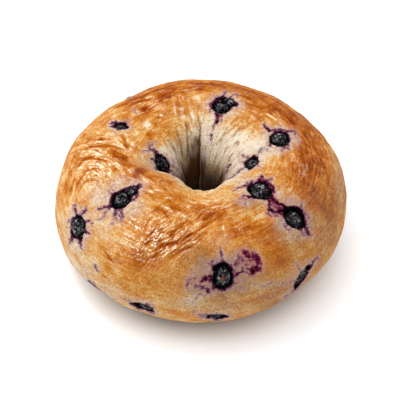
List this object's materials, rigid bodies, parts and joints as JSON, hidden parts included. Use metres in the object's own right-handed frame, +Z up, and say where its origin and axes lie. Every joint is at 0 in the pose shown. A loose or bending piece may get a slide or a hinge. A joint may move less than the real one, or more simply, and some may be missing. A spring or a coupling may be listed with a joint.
{
  "type": "blueberry bagel",
  "caption": "Baked ring of bread dough with a pleated hole in the middle, a glossy golden-brown crust and burst blueberries set in it; food to slice and eat.",
  "frame": {"origin": "middle of the underside, on the surface that the bagel lies on", "axes": "+Z is up, along the axis of the hole; the near side of the bagel in the picture faces -Y and its right side +X"},
  "size_m": [0.104, 0.106, 0.0433],
  "materials": {
    "crust": "baked bread crust, golden brown with a soft egg-wash sheen, paler in the hole and low on the sides, stained purple round the berries",
    "berry": "baked blueberry skin, blue-black, wrinkled, with a grey bloom and moist highlights"
  },
  "bodies": {
    "root": {"dough": "crust", "berry_back": "berry", "berry_far_left": "berry", "berry_hole_left": "berry", "berry_right_back": "berry", "berry_hole_right": "berry", "berry_left_top": "berry", "berry_left_side": "berry", "berry_right_lip": "berry", "berry_right_top": "berry", "berry_front": "berry", "berry_right_low": "berry", "berry_near_left_low": "berry", "berry_near_low": "berry", "berry_far_side": "berry", "berry_far_right": "berry", "berry_far_low": "berry", "berry_left_low": "berry", "berry_right_under": "berry"}
  },
  "joints": []
}
